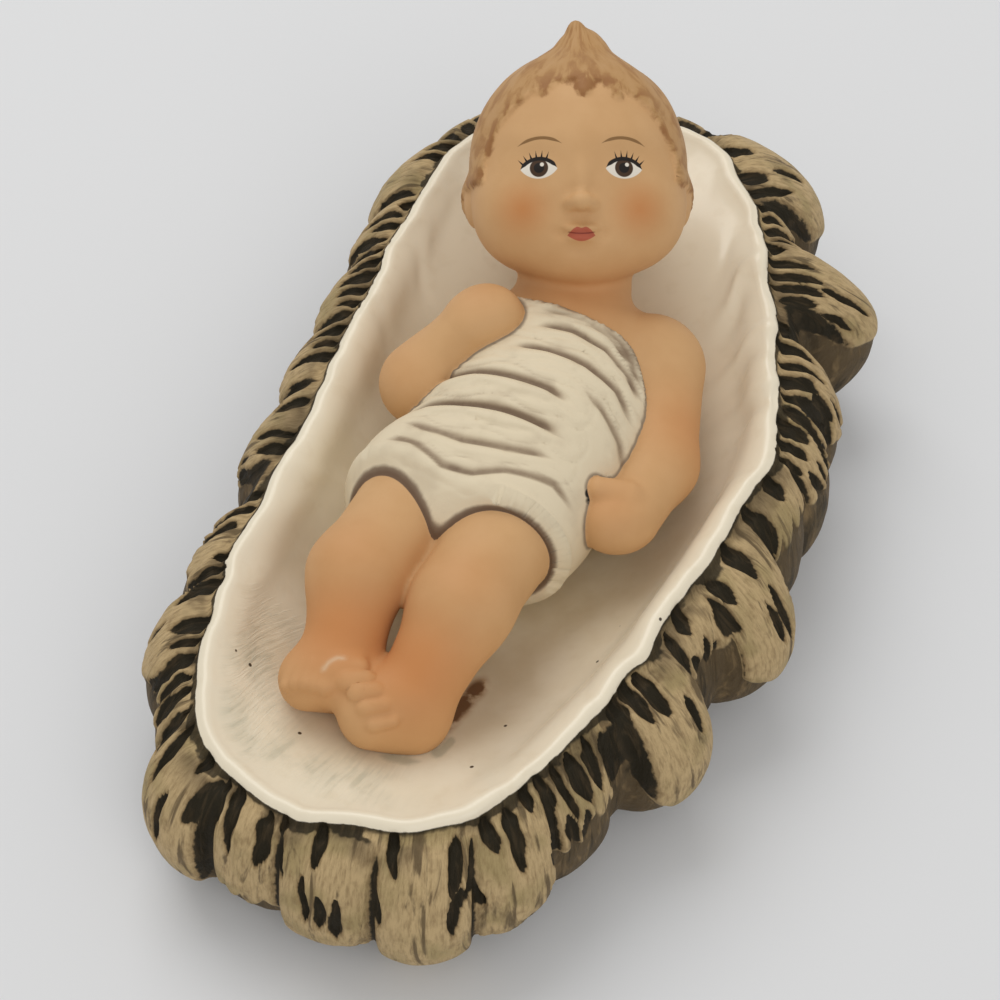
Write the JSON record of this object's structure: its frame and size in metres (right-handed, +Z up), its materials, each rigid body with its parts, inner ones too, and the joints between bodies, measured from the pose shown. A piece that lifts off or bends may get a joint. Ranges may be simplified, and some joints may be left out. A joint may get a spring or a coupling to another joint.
{
  "type": "nativity baby figurine in a straw manger bed",
  "caption": "Small ceramic nativity baby that lies wrapped in cloth in the white hollow of a low straw manger bed.",
  "frame": {"origin": "on the surface that the manger stands on, under the middle of the manger's outline", "axes": "+Y from the baby's feet to its head, +Z up, +X towards the baby's left side"},
  "size_m": [0.0914, 0.158, 0.064],
  "materials": {
    "straw_and_glaze": "straw painted in matt tan and dark brown, hollow in glossy white glaze",
    "painted_bisque": "matt painted bisque"
  },
  "bodies": {
    "root": {"straw_manger": "straw_and_glaze", "baby_figure": "painted_bisque"}
  },
  "joints": []
}
